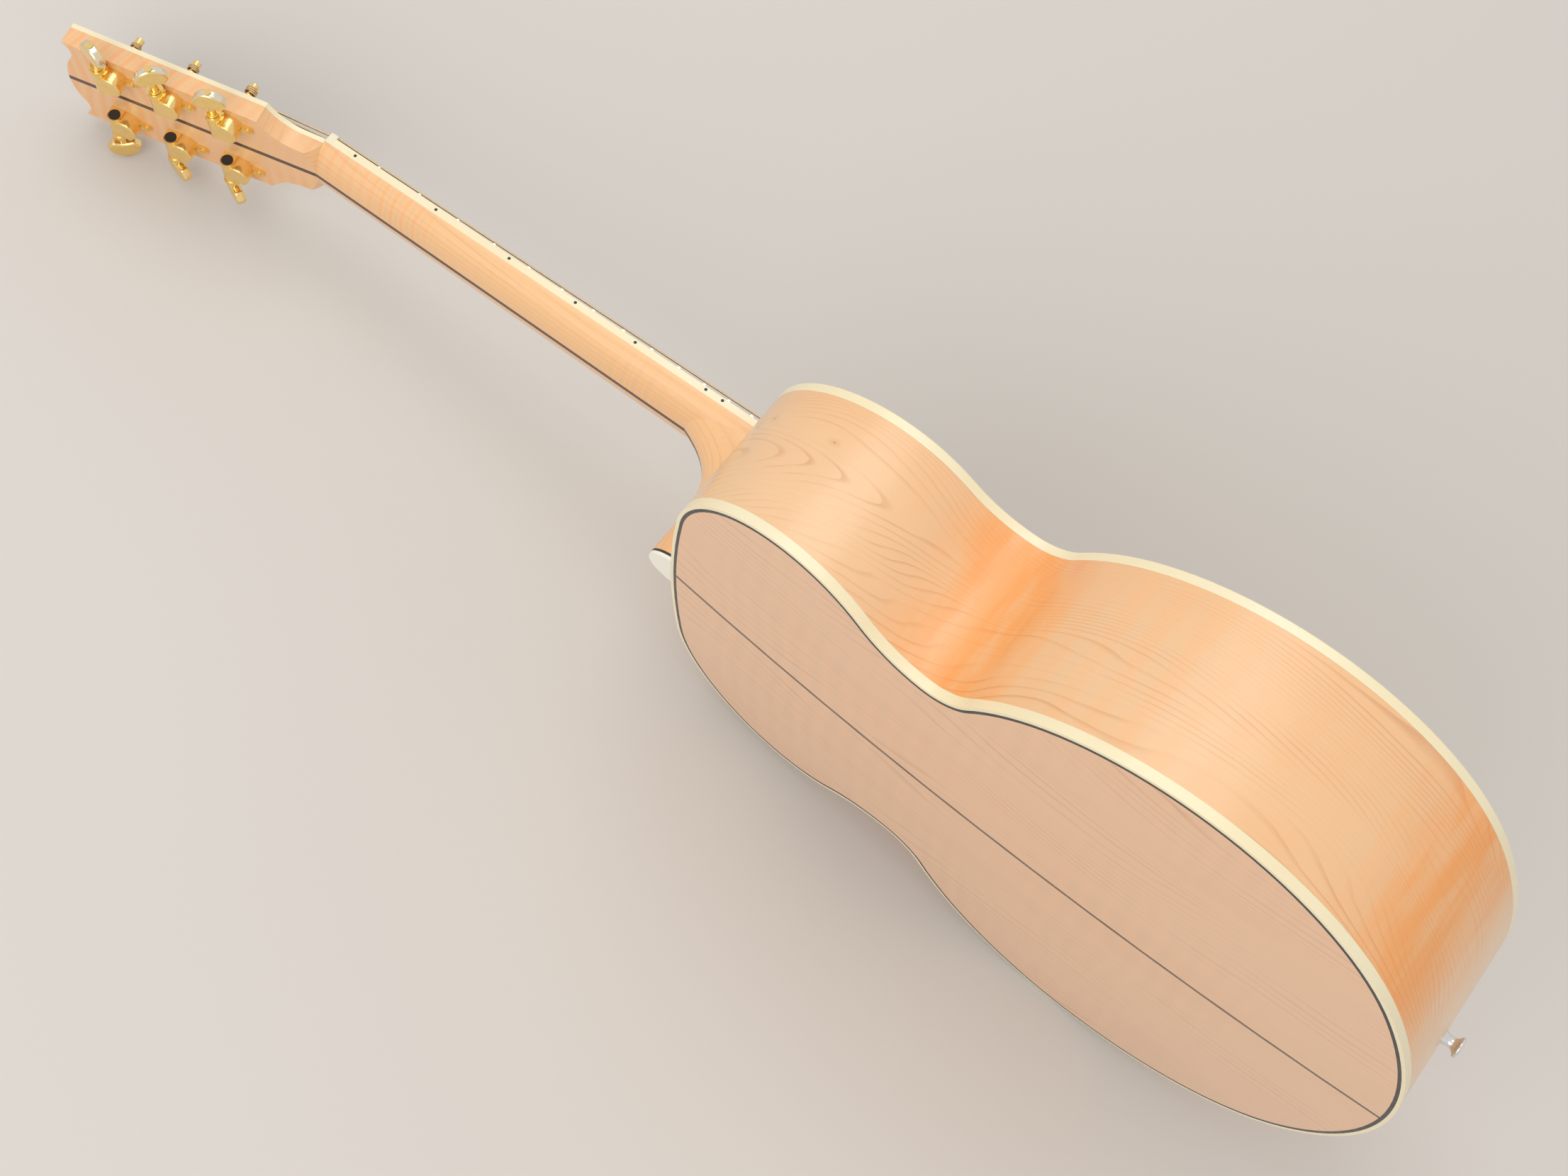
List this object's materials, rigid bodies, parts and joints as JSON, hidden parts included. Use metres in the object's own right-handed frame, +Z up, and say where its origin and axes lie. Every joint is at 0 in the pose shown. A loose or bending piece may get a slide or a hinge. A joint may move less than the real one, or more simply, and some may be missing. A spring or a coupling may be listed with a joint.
{
  "type": "jumbo acoustic guitar",
  "caption": "Steel-string flat-top jumbo acoustic guitar in maple with cream binding, arched back, sealed gold tuners and a strap button, lying on its treble rim.",
  "frame": {"origin": "on the floor, under the centre of the whole resting guitar", "axes": "+X towards the headstock, +Y the way the back faces, +Z up from the floor"},
  "size_m": [1.0874, 0.141, 0.4309],
  "materials": {
    "spruce_top": "gloss lacquer",
    "maple_back": "gloss lacquer",
    "maple_side": "gloss lacquer",
    "maple_neck": "gloss lacquer",
    "dark_strip": "gloss lacquer",
    "inner_wood": "bare",
    "mahogany": "bare",
    "rosewood": "oiled",
    "cream": "gloss",
    "white_plastic": "gloss",
    "purfling": "inlaid lines, black and white",
    "black_plastic": "gloss",
    "tortoise": "gloss",
    "bone": "polished",
    "pearl": "polished",
    "gold": "gold plated",
    "chrome": "polished",
    "fret_metal": "polished",
    "string_metal": "wound",
    "rod_steel": "plain"
  },
  "bodies": {
    "guitar": {"soundboard": "spruce_top", "back_bass": "maple_back", "back_treble": "maple_back", "back_centre_strip": "dark_strip", "rib_bass": "maple_side", "rib_treble": "maple_side", "top_binding": "cream", "back_binding": "cream", "top_purfling": "purfling", "back_purfling": "purfling", "linings": "inner_wood", "neck_block": "mahogany", "tail_block": "mahogany", "top_braces": "inner_wood", "back_braces": "inner_wood", "rosette": "purfling", "pickguard": "tortoise", "bridge": "rosewood", "saddle": "bone", "bridge_pins": "white_plastic", "strings": "string_metal", "nut": "bone", "fretboard": "rosewood", "frets": "fret_metal", "fret_inlays": "pearl", "side_dots": "black_plastic", "board_binding": "cream", "heel_cap": "white_plastic", "heel_ply": "purfling", "head_veneer": "rosewood", "head_binding": "cream", "truss_rod": "rod_steel", "truss_cover": "black_plastic", "strap_button": "chrome", "tuner_housings": "gold", "tuner_plugs": "black_plastic", "tuner_bushings": "gold", "tuner_screws": "gold", "neck_bass": "maple_neck", "neck_treble": "maple_neck", "neck_strip": "dark_strip"},
    "button_6": {"button_6": "gold", "worm_6": "gold"},
    "post_6": {"post_6": "gold"},
    "button_5": {"button_5": "gold", "worm_5": "gold"},
    "post_5": {"post_5": "gold"},
    "button_4": {"button_4": "gold", "worm_4": "gold"},
    "post_4": {"post_4": "gold"},
    "button_1": {"button_1": "gold", "worm_1": "gold"},
    "post_1": {"post_1": "gold"},
    "button_2": {"button_2": "gold", "worm_2": "gold"},
    "post_2": {"post_2": "gold"},
    "button_3": {"button_3": "gold", "worm_3": "gold"},
    "post_3": {"post_3": "gold"}
  },
  "joints": [
    {"name": "button_spin_6", "type": "hinge", "parent": "guitar", "child": "button_6", "pos_m": [0.42835, -0.02199, 0.12196], "axis": [0.1772, 0, 0.9842], "continuous": true},
    {"name": "post_spin_6", "type": "hinge", "parent": "guitar", "child": "post_6", "pos_m": [0.42165, -0.04426, 0.10203], "axis": [0.2214, -0.9744, -0.0399], "continuous": true},
    {"name": "button_spin_5", "type": "hinge", "parent": "guitar", "child": "button_5", "pos_m": [0.46959, -0.01232, 0.11453], "axis": [0.1772, 0, 0.9842], "continuous": true},
    {"name": "post_spin_5", "type": "hinge", "parent": "guitar", "child": "post_5", "pos_m": [0.46288, -0.03458, 0.09461], "axis": [0.2214, -0.9744, -0.0399], "continuous": true},
    {"name": "button_spin_4", "type": "hinge", "parent": "guitar", "child": "button_4", "pos_m": [0.51082, -0.00265, 0.10711], "axis": [0.1772, 0, 0.9842], "continuous": true},
    {"name": "post_spin_4", "type": "hinge", "parent": "guitar", "child": "post_4", "pos_m": [0.50412, -0.02491, 0.08718], "axis": [0.2214, -0.9744, -0.0399], "continuous": true},
    {"name": "button_spin_1", "type": "hinge", "parent": "guitar", "child": "button_1", "pos_m": [0.41212, -0.02199, 0.03181], "axis": [-0.1772, 0, -0.9842], "continuous": true},
    {"name": "post_spin_1", "type": "hinge", "parent": "guitar", "child": "post_1", "pos_m": [0.41279, -0.04426, 0.05282], "axis": [0.2214, -0.9744, -0.0399], "continuous": true},
    {"name": "button_spin_2", "type": "hinge", "parent": "guitar", "child": "button_2", "pos_m": [0.45336, -0.01232, 0.02439], "axis": [-0.1772, 0, -0.9842], "continuous": true},
    {"name": "post_spin_2", "type": "hinge", "parent": "guitar", "child": "post_2", "pos_m": [0.45402, -0.03458, 0.0454], "axis": [0.2214, -0.9744, -0.0399], "continuous": true},
    {"name": "button_spin_3", "type": "hinge", "parent": "guitar", "child": "button_3", "pos_m": [0.49459, -0.00265, 0.01696], "axis": [-0.1772, 0, -0.9842], "continuous": true},
    {"name": "post_spin_3", "type": "hinge", "parent": "guitar", "child": "post_3", "pos_m": [0.49526, -0.02491, 0.03797], "axis": [0.2214, -0.9744, -0.0399], "continuous": true}
  ],
  "couplings": [
    {"joint": "post_spin_6", "follows": "button_spin_6", "ratio": 0.071429},
    {"joint": "post_spin_5", "follows": "button_spin_5", "ratio": 0.071429},
    {"joint": "post_spin_4", "follows": "button_spin_4", "ratio": 0.071429},
    {"joint": "post_spin_1", "follows": "button_spin_1", "ratio": 0.071429},
    {"joint": "post_spin_2", "follows": "button_spin_2", "ratio": 0.071429},
    {"joint": "post_spin_3", "follows": "button_spin_3", "ratio": 0.071429}
  ]
}
